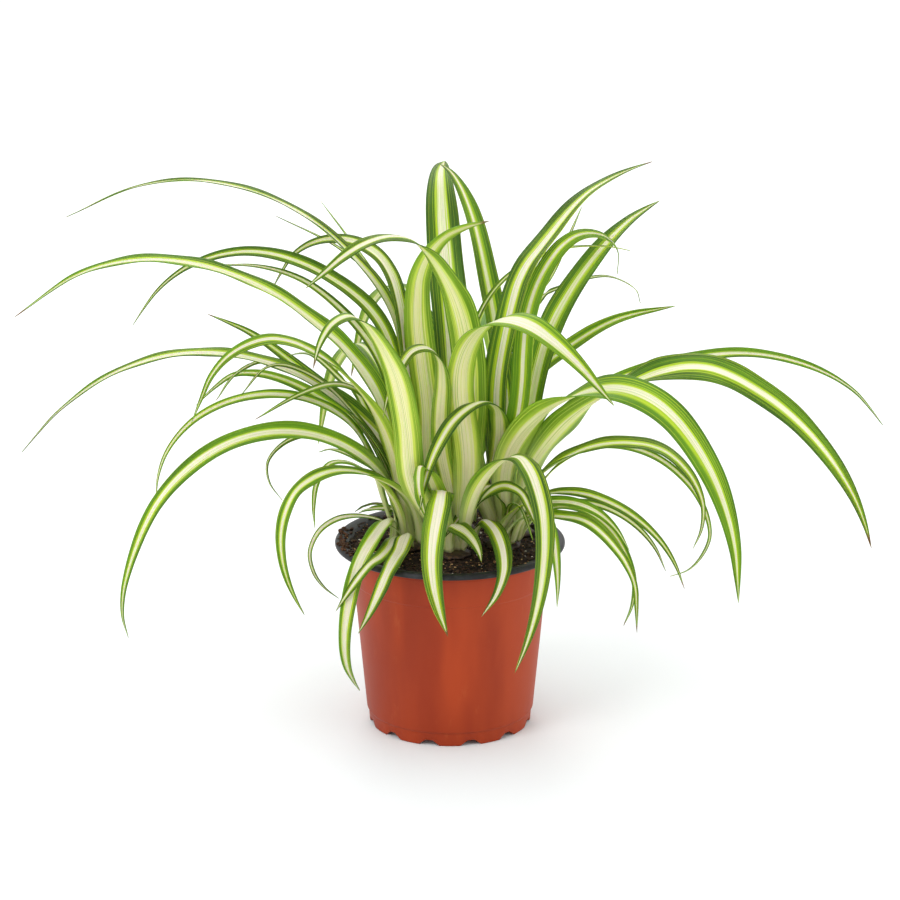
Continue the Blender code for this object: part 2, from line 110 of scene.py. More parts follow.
# %% [markdown]
# ## Shader maths as expressions
# A leaf's stripes are sums and products of a few numbers. Nodes make that hard to read, so a small
# class wraps a socket and turns each operator into a Math node. One method adds any other node.

# %% Shader values
class Value:
    """A shader number that can be added, subtracted and multiplied like a Python number."""

    def __init__(self, tree, socket):
        self.tree = tree
        self.socket = socket

    def math(self, operation, *others, swap=False):
        node = self.tree.nodes.new("ShaderNodeMath")
        node.operation = operation
        items = (*others, self) if swap else (self, *others)
        for slot, item in zip(node.inputs, items):
            if isinstance(item, Value):
                self.tree.links.new(item.socket, slot)
            else:
                slot.default_value = item
        return Value(self.tree, node.outputs[0])

    def __add__(self, other):
        return self.math("ADD", other)

    def __sub__(self, other):
        return self.math("SUBTRACT", other)

    def __rsub__(self, other):
        return self.math("SUBTRACT", other, swap=True)

    def __mul__(self, other):
        return self.math("MULTIPLY", other)

    def __abs__(self):
        return self.math("ABSOLUTE")

    __radd__ = __add__
    __rmul__ = __mul__


print("shader numbers can be used in expressions")

# %% [markdown]
# ### A finish
# Every finish starts from Blender's Principled shader and adds nodes to it. A small class keeps
# the shader, its tree and the few nodes that come up again and again: noise, a soft ramp, a blend
# of two colours and a bump. Colours are picked as display values and turned into linear light.

# %% Finish
def linear(*srgb):
    """A colour picked as 0 to 255 display values, as the linear colour that shaders take."""
    parts = [value / 255 for value in srgb]
    return (*(p / 12.92 if p <= 0.04045 else ((p + 0.055) / 1.055) ** 2.4 for p in parts), 1.0)


class Finish:
    """A material being made: its Principled shader, and helpers that add nodes to it."""

    def __init__(self, name, **constants):
        self.material = bpy.data.materials.new(name)
        self.material.use_nodes = True
        self.tree = self.material.node_tree
        self.shader = self.tree.nodes["Principled BSDF"]
        for socket, value in constants.items():
            self.shader.inputs[socket.replace("_", " ")].default_value = value

    def node(self, kind, settings=None, sockets=None, output=0):
        """Add a node: its settings first, then the values or links of its sockets."""
        made = self.tree.nodes.new(kind)
        for key, value in (settings or {}).items():
            setattr(made, key, value)
        for key, value in (sockets or {}).items():
            if isinstance(value, Value):
                self.tree.links.new(value.socket, made.inputs[key])
            else:
                made.inputs[key].default_value = value
        return Value(self.tree, made.outputs[output])

    def place(self, x, y=0.0, z=0.0):
        """A point made of three numbers, where a noise is read."""
        return self.node("ShaderNodeCombineXYZ", None, {0: x, 1: y, 2: z})

    def noise(self, at, scale, detail=2.0, roughness=0.5):
        """Soft random patches, from 0 to 1."""
        sockets = {"Vector": at, "Scale": scale, "Detail": detail, "Roughness": roughness}
        return self.node("ShaderNodeTexNoise", None, sockets)

    def ramp(self, value, low, high):
        """0 below low, 1 above high, smooth between; high may be the smaller one."""
        sockets = {"Value": value, "From Min": low, "From Max": high}
        return self.node("ShaderNodeMapRange", {"interpolation_type": "SMOOTHSTEP"}, sockets)

    def mix(self, first, second, share):
        """Blend two colours."""
        return self.node("ShaderNodeMix", {"data_type": "RGBA"}, {0: share, 6: first, 7: second}, 2)

    def feed(self, socket, value):
        """Link a value to a socket of the shader."""
        self.tree.links.new(value.socket, self.shader.inputs[socket])

    def bump(self, height, distance, strength=1.0):
        """Make the surface look raised by a height, over a distance in metres."""
        sockets = {"Height": height, "Distance": distance, "Strength": strength}
        self.feed("Normal", self.node("ShaderNodeBump", None, sockets))


print("shader helpers ready")

# %% [markdown]
# ## Leaf finishes
# Across a leaf, from the middle out: a cream stripe, a thin yellow-green transition and a green
# margin. Their borders aren't smooth curves, they are made of fine parallel streaks, because each
# vein keeps its own colour. So the distance from the middle is disturbed by a noise that is
# stretched along the leaf. The coordinates are the leaf's own UV map, from edge to edge and from
# crown to tip, which bends with the leaf. Four numbers stored on each leaf vary the pattern.

# %% Leaf finish
SHEATH_GREEN = linear(206, 214, 150)     # where the leaf leaves its crown
DRY_BROWN = linear(112, 66, 36)          # a tip that has dried out


def leaf_finish(name, cream, yellow, green, deep, roughness, widening, streaking):
    """Striped leaf skin; the same pattern serves the upper face and the underside.

    widening widens the cream stripe, and streaking is how strongly green veins cross it."""
    f = Finish(name, Specular_IOR_Level=0.25, Subsurface_Weight=0.45, Subsurface_Scale=0.002)
    f.shader.inputs["Subsurface Radius"].default_value = (0.6, 1.0, 0.3)
    uv = f.node("ShaderNodeUVMap", {"uv_map": "leaf"})
    across_raw = f.node("ShaderNodeSeparateXYZ", None, {0: uv}, 0)
    along = f.node("ShaderNodeSeparateXYZ", None, {0: uv}, 1)
    seed = f.node("ShaderNodeAttribute", {"attribute_name": "seed"}, None, 2)
    stripe = f.node("ShaderNodeAttribute", {"attribute_name": "stripe"}, None, 2)
    length = f.node("ShaderNodeAttribute", {"attribute_name": "length"}, None, 2)
    dryness = f.node("ShaderNodeAttribute", {"attribute_name": "dry_tip"}, None, 2)
    metres = along * length

    drift = f.noise(f.place(along * 2.0, seed * 40.0), 1.0, 1.0) - 0.5
    swell = f.noise(f.place(along * 2.6, seed * 75.0), 1.0, 1.0) - 0.5
    across = abs(across_raw - 0.5 + drift * 0.16) * 2.0 + swell * 0.22
    coarse = f.noise(f.place(across_raw * 13.0, metres * 7.0, seed * 60.0), 1.0, 2.0) - 0.5
    fine = f.noise(f.place(across_raw * 46.0, metres * 5.0, seed * 90.0), 1.0, 2.0, 0.6) - 0.5
    edge = across + coarse * 0.46 + fine * 0.34 - stripe * (1.0 - along * 0.5) - widening

    tone = f.noise(f.place(metres * 16.0, across_raw * 2.0, seed * 25.0), 1.0, 2.0)
    depth = tone * 0.6 + fine * 0.6 + across * 0.25 + seed * 0.36
    skin = f.mix(green, deep, f.ramp(depth, 0.42, 0.84))
    skin = f.mix(skin, yellow, f.ramp(edge, 0.30, 0.12) * 0.95)
    skin = f.mix(skin, cream, f.ramp(edge, 0.08, -0.02))
    veins = f.noise(f.place(across_raw * 64.0, metres * 3.5, seed * 130.0), 1.0, 1.5)
    skin = f.mix(skin, yellow, f.ramp(veins, 0.57, 0.64) * 0.7)
    skin = f.mix(skin, green, f.ramp(veins, 0.43, 0.36) * streaking)
    skin = f.mix(skin, SHEATH_GREEN, f.ramp(along, 0.26, 0.02) * 0.7)
    rust = f.ramp(along + fine * 0.03 - (1.0 - dryness), 0.0, 0.012)
    skin = f.mix(skin, DRY_BROWN, rust * 0.9)
    f.feed("Base Color", skin)

    f.feed("Roughness", tone * 0.16 + fine * 0.10 + (roughness - 0.08))
    ribs = (across_raw * 130.0).math("SINE") * 0.25
    f.bump(ribs + fine * 2.4 + coarse * 1.2, 0.28 * MM, 0.9)
    return f.material


leaf_face = leaf_finish("leaf_face", linear(237, 232, 209), linear(184, 203, 46),
                        linear(98, 142, 20), linear(52, 84, 8), 0.42, 0.02, 0.40)
leaf_underside = leaf_finish("leaf_underside", linear(234, 231, 180), linear(207, 220, 90),
                             linear(150, 181, 48), linear(98, 136, 22), 0.48, 0.08, 0.75)
print("leaf finishes", leaf_face.name, leaf_underside.name)

# %% [markdown]
# ## Where a leaf runs
# The frame holds each leaf as a plain faceted strap, with four corners at every step along it. A
# merged copy of that mesh gives the route: starting from the cut end, each ring of neighbours is
# the next step, and the last corner is the tip. At each step the two closest corners are the
# midrib's upper and lower side, and the other two are the edges.

# %% Read a leaf's route
POT_INSIDE = 70 * MM       # leaves start nearer to the axis than this
SAME_HEIGHT = 0.01 * MM


def rings_of(node):
    """The corner points of a leaf solid, step by step from the crown to the tip."""
    bm = bmesh.new()
    bm.from_mesh(node.data)
    bmesh.ops.remove_doubles(bm, verts=bm.verts, dist=1e-6)
    bm.verts.index_update()
    inside = [vert for vert in bm.verts if vert.co.xy.length < POT_INSIDE]
    low = min(vert.co.z for vert in inside)
    current = {vert for vert in inside if vert.co.z < low + SAME_HEIGHT}
    seen = set(current)
    rings = []
    while current:
        rings.append([vert.co.copy() for vert in sorted(current, key=lambda vert: vert.index)])
        current = {edge.other_vert(vert) for vert in current for edge in vert.link_edges} - seen
        seen |= current
    bm.free()
    return rings


sample = rings_of(frame["nodes"]["right_leaf_02"])
print("right_leaf_02 has", len(sample), "rings of corners")

# %% [markdown]
# ### Rails
# A midrib alone doesn't say which way a leaf faces. So each step of a route also keeps the half
# width, the direction across the leaf and the direction its face looks in. Such steps are called
# rails here, because the blade is laid over them.

# %% Rails
def rails_of(rings):
    """Midrib, half width, side and face direction at each step, from the corners of each ring."""
    corners = [ring for ring in rings if len(ring) == 4]
    tip = rings[-1][0]
    middles = []
    for ring in corners:
        pairs = [(a, b) for i, a in enumerate(ring) for b in ring[i + 1:]]
        rib = min(pairs, key=lambda pair: (pair[0] - pair[1]).length)
        edges = [corner for corner in ring if corner not in rib]
        middles.append(((rib[0] + rib[1]) / 2, edges))
    rails = []
    for i, (middle, (left, right)) in enumerate(middles):
        after = middles[i + 1][0] if i + 1 < len(middles) else tip
        before = middles[i - 1][0] if i else middle
        tangent = (after - before).normalized()
        face = (left + right) / 2 - middle
        side = (right - left).normalized()
        if side.cross(tangent).dot(face) < 0:
            side = -side
        normal = side.cross(tangent).normalized()
        rails.append((middle, (right - left).length / 2, side, normal))
    middle, _, side, normal = rails[-1]
    rails.append((tip, 0.0, side, normal))
    return rails


widest = max(half for _, half, _, _ in rails_of(sample))
print("right_leaf_02 is", round(2 * widest / MM, 1), "mm wide")

# %% [markdown]
# ### Between two steps
# The steps of a route are far apart, and straight lines between them would show as kinks. A
# Catmull-Rom curve passes through every step and bends smoothly. It works the same for points,
# directions and plain numbers, because it only adds and scales them.

# %% Smooth values
def between(values, at):
    """A smooth value between the steps of a rail, by a Catmull-Rom curve."""
    last = len(values) - 1
    i = min(int(at), last - 1)
    t = at - i
    p1, p2 = values[i], values[i + 1]
    p0 = values[i - 1] if i else p1 * 2 - p2
    p3 = values[i + 2] if i + 2 <= last else p2 * 2 - p1
    return (p1 * 2 + (p2 - p0) * t + (p0 * 2 - p1 * 5 + p2 * 4 - p3) * t ** 2
            + (p1 * 3 - p0 - p2 * 3 + p3) * t ** 3) * 0.5


print("halfway from 1 to 2 in 0, 1, 2, 0:", between([0, 1, 2, 0], 1.5))

# %% [markdown]
# ### A piece in the scene
# Each piece is built as a bmesh and then becomes one object at the origin, with its place in its
# mesh. It rides on the plant's only body. Numbers that a finish needs, such as a leaf's length,
# are stored on the mesh, where a shader can read them by name.

# %% New piece
def new_piece(name, bm, *materials):
    """Put a finished bmesh in the scene as a smooth piece that rides with the plant."""
    mesh = bpy.data.meshes.new(name)
    bm.to_mesh(mesh)
    bm.free()
    mesh.shade_smooth()
    for material in materials:
        mesh.materials.append(material)
    piece = bpy.data.objects.new(name, mesh)
    bpy.context.scene.collection.objects.link(piece)
    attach(piece, "root")
    return piece


def store(mesh, name, value):
    """Store one number on every vertex, where the leaf finish reads it."""
    layer = mesh.attributes.new(name, "FLOAT", "POINT")
    layer.data.foreach_set("value", [value] * len(mesh.vertices))


# %% [markdown]
# ## The channel of a leaf
# A leaf stands up because it is folded along its midrib like a gutter. Where it bends sharply it
# can't keep that shape: it flattens, as a steel tape does, and its margins even droop. That is
# why the top of a tight arch looks rounded. So the bend at each step says how much is kept.

# %% Channel
FLATTENING_BEND = 22.0     # curvature, in 1/m, at which a blade has lost its channel


def channel(mids):
    """1 where a blade keeps its channel, 0 where it is flat, less where its margins droop.

    Like a steel tape, it flattens in a bend, and in a very tight one it turns the other way."""
    kept = []
    for before, middle, after in zip(mids, mids[1:], mids[2:]):
        bend = (middle - before).angle(after - middle) / (middle - before).length
        tight = (bend / FLATTENING_BEND) ** 2
        kept.append((1 - tight) / (1 + tight))
    return [kept[0], *kept, kept[-1]]


kept = channel([rail[0] for rail in rails_of(sample)])
print("right_leaf_02 keeps from", round(min(kept), 2), "to", round(max(kept), 2), "of its channel")

# %% [markdown]
# ## The blade of a leaf
# A blade could be a bevelled curve, but then it would have no channel and no clean UV map. Here a
# flat grid is laid over the route instead: one direction runs across the leaf and the other along
# it. It is folded most near the crown, where its sheath is also widest, and it opens out towards
# the tip. Its margins curl and ripple, as a soft leaf's do. Solidify gives it its thickness, and
# its second material is the underside.

# %% Blade
ROW_SPACING = 3.0 * MM
COLUMNS = 10
BLADE_THICKNESS = 0.55 * MM
SHEATH_FLARE = 0.35        # how much wider the sheath is at the crown
SHEATH_SHARE = 0.35        # share of the leaf that the sheath takes up
FOLD = math.radians(38)    # how far each half is folded up at the crown
FOLDED_SHARE = 0.6         # share of the leaf that is folded
CURL = 0.30                # how far the margins curl up, in half widths
RIPPLE = 0.075             # how far they wave, in half widths
PINCH = 0.3                # how much a tight bend narrows the leaf
DRY_TIPS = (0.0, 0.0, 0.008, 0.03)       # shares of a leaf that may have dried out


def blade(name, rails, look, stripes=(0.2, 0.4)):
    """A leaf blade over a route. look varies its stripe, ripple and dry tip."""
    steps = len(rails) - 1
    mids, halves, sides, normals = (list(values) for values in zip(*rails))
    kept = channel(mids)
    length = sum((b - a).length for a, b in zip(mids, mids[1:]))
    rows = max(16, round(length / ROW_SPACING))
    bm = bmesh.new()
    bm.loops.layers.uv.new("leaf")
    bmesh.ops.create_grid(bm, x_segments=COLUMNS, y_segments=rows, size=1.0, calc_uvs=True)
    phase = look.uniform(0.0, math.tau)
    waves = length / look.uniform(0.045, 0.075)
    for vert in bm.verts:
        across = vert.co.x
        share = 0.5 + 0.5 * vert.co.y
        at = min(share * steps, steps - 1e-6)
        half = max(0.0, between(halves, at))
        side = between(sides, at)
        normal = between(normals, at).normalized()
        hold = min(1.0, between(kept, at))
        half *= 1 + SHEATH_FLARE * max(0.0, 1 - share / SHEATH_SHARE) ** 1.5
        half *= 1 + PINCH * min(0.0, hold)
        fold = FOLD * max(0.0, 1 - share / FOLDED_SHARE) * hold
        rise = CURL * hold * abs(across) ** 1.5 + math.sin(fold) * abs(across) ** 1.2
        wave = math.sin(math.tau * waves * share + phase + across)
        ripple = RIPPLE * across * abs(across) * wave
        spread = side * across * math.cos(fold) + normal * (rise + ripple)
        vert.co = between(mids, at) + half * spread
    bmesh.ops.remove_doubles(bm, verts=bm.verts, dist=1e-5)
    bm.normal_update()
    first = min(bm.faces, key=lambda face: (face.calc_center_median() - mids[0]).length)
    if first.normal.dot(normals[0]) < 0:
        bmesh.ops.reverse_faces(bm, faces=bm.faces)
    piece = new_piece(name, bm, leaf_face, leaf_underside)
    store(piece.data, "seed", look.random())
    store(piece.data, "stripe", look.uniform(*stripes))
    store(piece.data, "length", length)
    store(piece.data, "dry_tip", look.choice(DRY_TIPS))
    wall = piece.modifiers.new("thickness", "SOLIDIFY")
    wall.thickness = BLADE_THICKNESS
    wall.offset = -1.0
    wall.material_offset = 1
    return piece


print("blade ready:", COLUMNS, "columns, a row every", round(ROW_SPACING / MM), "mm")

# %% [markdown]
# ### All the blades
# Every leaf of the frame gets its blade. The leaves that hang at the front have the widest cream
# stripes, and those of the other crowns have more green. Within those limits each leaf picks its
# own look, from a random source that starts from its place in the list.

# %% All the blades
STRIPES = {                # narrowest and widest stripe, as shares of a leaf's width
    "front": (0.30, 0.50),
    "left": (0.16, 0.42),
    "right": (0.16, 0.30),
    "back": (0.16, 0.32),
}
blades = []
for order, node_name in enumerate(sorted(frame["nodes"])):
    if "_leaf_" in node_name:
        rails = rails_of(rings_of(frame["nodes"][node_name]))
        stripes = STRIPES[node_name.split("_")[0]]
        piece = blade(node_name + "_blade", rails, random.Random(order), stripes)
        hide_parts(node_name)
        blades.append(piece)
faces = sum(len(piece.data.polygons) for piece in blades)
print(len(blades), "blades,", faces, "faces before thickness")

# %% [markdown]
# ### Young leaves
# Between the big leaves a spider plant has young ones, some no wider than grass. They are too thin
# to matter as solids, so the frame has none. Each is grown here from its crown, through a few
# points given as distance outwards and height. A new route has the same shape as a frame route,
# so the same blade can be laid over it.

# %% Young leaves
YOUNG_LEAVES = (
    # crown, direction and roll in degrees, width and (outwards, height) points in millimetres
    ("back_crown", 140, -20, 4,
     ((30, 240), (62, 290), (85, 312), (105, 322), (129, 330), (176, 340))),
    ("back_crown", 125, -20, 3, ((20, 190), (67, 269), (99, 296), (139, 321), (180, 344))),
    ("back_crown", 60, 20, 4,
     ((20, 190), (60, 245), (113, 280), (143, 295), (172, 322), (187, 336))),
    ("back_crown", 40, 20, 4,
     ((25, 220), (73, 287), (96, 298), (140, 300), (171, 286), (178, 273))),
    ("left_crown", 140, -20, 7, ((20, 190), (48, 239), (62, 245), (91, 259), (116, 254))),
    ("left_crown", 150, -20, 6, ((8, 155), (15, 179), (39, 191), (62, 196), (75, 192))),
    ("left_crown", 160, -20, 7, ((7, 158), (28, 158), (38, 154))),
    ("left_crown", 190, -30, 6, ((15, 190), (50, 245), (94, 274), (120, 268), (136, 248))),
    ("left_crown", 200, -30, 6, ((12, 190), (50, 248), (80, 272), (103, 276), (122, 258))),
    ("left_crown", 205, -30, 8, ((10, 200), (30, 245), (53, 260), (82, 256), (116, 242))),
    ("left_back_crown", 172, 30, 12, ((8, 146), (20, 153), (32, 154), (44, 147))),
    ("right_crown", -70, 0, 5, ((10, 165), (35, 172), (59, 155))),
    ("front_crown", 240, 0, 13,
     ((14, 165), (32, 198), (45, 211), (48, 198), (42, 180), (35, 168))),
    ("right_crown", 220, -25, 15, ((3, 160), (8, 178), (20, 179), (38, 165), (56, 150))),
)
YOUNG_STEPS = 24
YOUNG_BASE = 0.45          # width at the crown, as a share of the full width
YOUNG_WIDENING = 2.2       # how fast it reaches its full width
FIRST_YOUNG_LOOK = 700     # random source of the first one


def young_rails(crown, turn, roll, width, points):
    """A route through given points, outwards from a crown."""
    low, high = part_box(crown)
    centre = Vector(((low.x + high.x) / 2, (low.y + high.y) / 2, 0.0))
    out = Vector((math.cos(math.radians(turn)), math.sin(math.radians(turn)), 0.0))
    knots = [Vector((4 * MM, high.z - 2 * MM)), *(Vector(point) * MM for point in points)]
    mids = []
    for i in range(YOUNG_STEPS + 1):
        spot = between(knots, (len(knots) - 1) * min(i / YOUNG_STEPS, 1 - 1e-9))
        mids.append(centre + out * spot.x + Vector((0.0, 0.0, spot.y)))
    rails = []
    for i, middle in enumerate(mids):
        share = i / YOUNG_STEPS
        tangent = (mids[min(i + 1, YOUNG_STEPS)] - mids[max(i - 1, 0)]).normalized()
        side = Vector((out.y, -out.x, 0.0))
        side = Matrix.Rotation(math.radians(roll), 3, tangent) @ side
        swell = min(1.0, YOUNG_BASE + YOUNG_WIDENING * share)
        half = 0.5 * width * MM * swell * (1 - share ** 3)
        rails.append((middle, half, side, side.cross(tangent).normalized()))
    return rails


for order, (crown, turn, roll, width, points) in enumerate(YOUNG_LEAVES):
    rails = young_rails(crown, turn, roll, width, points)
    blade(f"young_leaf_{order + 1}", rails, random.Random(FIRST_YOUNG_LOOK + order))
print(len(YOUNG_LEAVES), "young leaves")

# %% [markdown]
# ## The pot
# A nursery pot is pressed from one sheet of plastic with a terracotta skin outside and a black
# one inside. The black rolls over the rim and flares out as a lip. It is a turned shape, so its
# outline is spun round the axis. The foot ring has cut-outs, so that water can run away under it.

# %% Turn an outline
POT_STEPS = 144


def face_number(corners, count):
    """One number for a face, from the first and last of its corners."""
    return min(corners) * count + max(corners)


def turned(outline, steps):
    """Spin an outline of (radius, height), whose ends are on the axis, into a closed shape.

    The spin makes its faces in any order, so they are sorted to come out the same each time."""
    bm = bmesh.new()
    verts = [bm.verts.new((radius, 0.0, height)) for radius, height in outline]
    edges = [bm.edges.new(pair) for pair in zip(verts, verts[1:])]
    bmesh.ops.spin(bm, geom=verts + edges, cent=(0, 0, 0), axis=(0, 0, 1),
                   angle=math.tau, steps=steps, use_merge=True)
    bmesh.ops.remove_doubles(bm, verts=bm.verts, dist=1e-6)
    bmesh.ops.recalc_face_normals(bm, faces=bm.faces)
    bm.verts.index_update()
    bm.faces.sort(key=lambda face: face_number([vert.index for vert in face.verts], len(bm.verts)))
    return bm


def rounded(corners, radius, points=4):
    """An outline with each inner corner replaced by a small curve."""
    result = [corners[0]]
    for before, corner, after in zip(corners, corners[1:], corners[2:]):
        a, b, c = Vector(before), Vector(corner), Vector(after)
        reach = min(radius, 0.45 * (a - b).length, 0.45 * (c - b).length)
        start = b + (a - b).normalized() * reach
        end = b + (c - b).normalized() * reach
        for i in range(points + 1):
            t = i / points
            result.append(tuple(start * (1 - t) ** 2 + b * 2 * t * (1 - t) + end * t ** 2))
    result.append(corners[-1])
    return result


_, pot_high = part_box("pot")
lip_radius = pot_high.x
pot_height = pot_high.z
print("pot", round(2 * lip_radius / MM), "mm across,", round(pot_height / MM), "mm high")

# %% [markdown]
# ### The pot's own outline
# The wall tapers down to a stepped foot, with a raised band below the lip. The lip is flat on top
# and dished inside, where it runs over into the black lining. A shallow groove runs round the
# wall just under the lip.

# %% Pot outline
BODY_TOP = 72.5 * MM       # outer radius under the lip
BODY_FOOT = 61.0 * MM      # outer radius above the foot step
WALL = 1.6 * MM
BAND_STEP = 0.7 * MM
BAND_BOTTOM = 108 * MM
LIP_BOTTOM = pot_height - 3.8 * MM
LIP_ROUND = 1.5 * MM
LIP_HOLLOW = 1.8 * MM
FOOT_TOP = 11 * MM
FOOT_RADIUS = BODY_FOOT - 2 * MM
FOOT_RING = 4 * MM
PLATE_BOTTOM = 5 * MM
PLATE_TOP = 7 * MM
GROOVE = 0.6 * MM
MID_WALL = 60 * MM


def wall_radius(height):
    """Outer radius of the tapered wall."""
    share = (height - FOOT_TOP) / (LIP_BOTTOM - FOOT_TOP)
    return BODY_FOOT + share * (BODY_TOP - BODY_FOOT)


def pot_outline():
    inner = -BAND_STEP - WALL
    under_lip = [(wall_radius(LIP_BOTTOM - 5 * MM), LIP_BOTTOM - 5 * MM),
                 (wall_radius(LIP_BOTTOM) - GROOVE, LIP_BOTTOM - 4.2 * MM),
                 (wall_radius(LIP_BOTTOM) - GROOVE, LIP_BOTTOM - 3.2 * MM),
                 (wall_radius(LIP_BOTTOM), LIP_BOTTOM - 2.4 * MM)]
    return [
        (0.0, PLATE_BOTTOM),
        (FOOT_RADIUS - FOOT_RING, PLATE_BOTTOM),
        (FOOT_RADIUS - FOOT_RING, 0.0),
        (FOOT_RADIUS - 0.6 * MM, 0.0),
        (FOOT_RADIUS, FOOT_TOP - 1.5 * MM),
        (BODY_FOOT - BAND_STEP, FOOT_TOP),
        (wall_radius(MID_WALL) - BAND_STEP, MID_WALL),
        (wall_radius(BAND_BOTTOM) - BAND_STEP, BAND_BOTTOM),
        (wall_radius(BAND_BOTTOM), BAND_BOTTOM + 1 * MM),
        *under_lip,
        (wall_radius(LIP_BOTTOM), LIP_BOTTOM - 0.2 * MM),
        (lip_radius - LIP_ROUND, LIP_BOTTOM - LIP_ROUND / 3),
        (lip_radius, LIP_BOTTOM + LIP_ROUND / 3),
        (lip_radius, pot_height - LIP_ROUND),
        (lip_radius - LIP_ROUND, pot_height),
        (lip_radius - 3 * LIP_ROUND, pot_height),
        (BODY_TOP, pot_height - LIP_HOLLOW),
        (BODY_TOP - LIP_ROUND, pot_height - 2 * LIP_HOLLOW),
        (wall_radius(LIP_BOTTOM) + inner, LIP_BOTTOM - LIP_HOLLOW),
        (wall_radius(MID_WALL) + inner, MID_WALL),
        (wall_radius(PLATE_TOP) + inner, PLATE_TOP + 2 * MM),
        (wall_radius(PLATE_TOP) + inner - 3 * MM, PLATE_TOP),
        (0.0, PLATE_TOP),
    ]


print("pot outline has", len(pot_outline()), "corners")

# %% [markdown]
# ### Spinning the pot
# After spinning, the foot ring is pushed up in twelve places, with soft sides, so that water can
# get out. Cutting them with booleans would leave ragged edges. Then each face gets the terracotta
# or the black skin, by which way it looks and how high it is.

# %% Spin the pot
CORNER_ROUND = 1.2 * MM
SCALLOPS = 12
FIRST_SCALLOP = 15.0       # degrees from +X to the middle of the first one
SCALLOP_HALF_WIDTH = 6.5   # degrees
SCALLOP_SIDE = 3.0         # degrees over which each side rises
SCALLOP_HEIGHT = 4.0 * MM
RING_EDGE = 3.0 * MM       # the ring is pushed up below this height
pot_mesh = turned(rounded(pot_outline(), CORNER_ROUND), POT_STEPS)
spacing = 360.0 / SCALLOPS
for vert in pot_mesh.verts:
    if vert.co.z < RING_EDGE:
        angle = math.degrees(math.atan2(vert.co.y, vert.co.x))
        past = abs((angle - FIRST_SCALLOP + 0.5 * spacing) % spacing - 0.5 * spacing)
        depth = min(1.0, max(0.0, (SCALLOP_HALF_WIDTH - past) / SCALLOP_SIDE))
        vert.co.z += (SCALLOP_HEIGHT - 0.7 * vert.co.z) * depth * depth * (3 - 2 * depth)
pot_mesh.normal_update()
for face in pot_mesh.faces:
    middle = face.calc_center_median()
    outward = face.normal.dot(Vector((middle.x, middle.y, 0.0)).normalized())
    skin = outward > 0.2 or face.normal.z < -0.5 or middle.z < PLATE_BOTTOM + 0.2 * MM
    face.material_index = 0 if skin and middle.z < LIP_BOTTOM - 0.3 * MM else 1
print("pot has", len(pot_mesh.faces), "faces")

# %% [markdown]
# ### Pot finishes
# The terracotta plastic isn't one colour: the flow of the plastic leaves faint upright clouds,
# and dust and handling leave paler scuffs. A noise that is stretched upwards makes the clouds.
# The black lip is a charcoal grey with a soft sheen and some dust.

# %% Pot finishes
def terracotta_finish():
    f = Finish("terracotta_plastic", Specular_IOR_Level=0.22)
    place = f.node("ShaderNodeTexCoord", None, None, 3)
    parts = [f.node("ShaderNodeSeparateXYZ", None, {0: place}, i) for i in range(3)]
    upright = f.place(parts[0] * 26.0, parts[1] * 26.0, parts[2] * 5.0)
    clouds = f.noise(upright, 1.0, 3.0, 0.55)
    grain = f.noise(place, 900.0, 2.0)
    scuffs = f.noise(f.place(parts[0] * 60.0, parts[1] * 60.0, parts[2] * 22.0), 1.0, 4.0, 0.7)
    colour = f.mix(linear(142, 46, 14), linear(165, 60, 21), f.ramp(clouds, 0.32, 0.68))
    colour = f.mix(colour, linear(186, 96, 52), f.ramp(scuffs, 0.60, 0.80) * 0.35)
    f.feed("Base Color", colour)
    f.feed("Roughness", clouds * 0.14 + scuffs * 0.12 + 0.36)
    f.bump(grain * 0.4 + clouds * 2.0, 0.15 * MM, 0.6)
    return f.material


def black_plastic_finish():
    f = Finish("black_plastic", Specular_IOR_Level=0.3)
    place = f.node("ShaderNodeTexCoord", None, None, 3)
    dust = f.noise(place, 120.0, 4.0, 0.65)
    colour = f.mix(linear(15, 16, 18), linear(46, 48, 51), f.ramp(dust, 0.42, 0.76))
    f.feed("Base Color", colour)
    f.feed("Roughness", dust * 0.3 + 0.34)
    f.bump(dust, 0.2 * MM, 0.5)
    return f.material


pot = new_piece("nursery_pot", pot_mesh, terracotta_finish(), black_plastic_finish())
pot.data.set_sharp_from_angle(angle=math.radians(40))
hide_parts("pot")
print("pot finished", pot.name)

# %% [markdown]
# ## The soil
# Potting soil is dark peat with crumbs of bark and light specks of perlite and grit. A noise
# raises and lowers a turned disc into a crumbly surface, which is pushed up against the lip all
# round. That is enough from far away; grains follow for the close view.

# %% Soil surface
soil_low, soil_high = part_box("soil")
SOIL_RADIUS = 76.5 * MM    # it laps over the inside of the flared lip
SHOULDER = 69.0 * MM       # where it starts to rise towards the lip
RISE_WIDTH = 6.0 * MM
RISE_HEIGHT = 4.0 * MM
EDGE_FALL = 1.2            # slope beyond the rise, where it lies on the lip
SINK = 0.8 * MM            # how far its flat part lies below the top of the frame's soil
SOIL_RINGS = 70
SOIL_STEPS = 200


def soil_height(x, y):
    """Height of the crumbly surface: lumps and crumbs, pushed up against the flared lip."""
    radius = math.hypot(x, y)
    lumps = noise.noise(Vector((x, y, 0.0)) * 90) * 1.2 * MM
    crumbs = noise.noise(Vector((x, y, 0.3)) * 420) * 0.8 * MM
    rise = min(1.0, max(0.0, (radius - SHOULDER) / RISE_WIDTH))
    fall = EDGE_FALL * max(0.0, radius - SHOULDER - RISE_WIDTH)
    level = soil_high.z - SINK + RISE_HEIGHT * rise - fall
    return level + (lumps + crumbs) * (1 - 0.4 * rise)


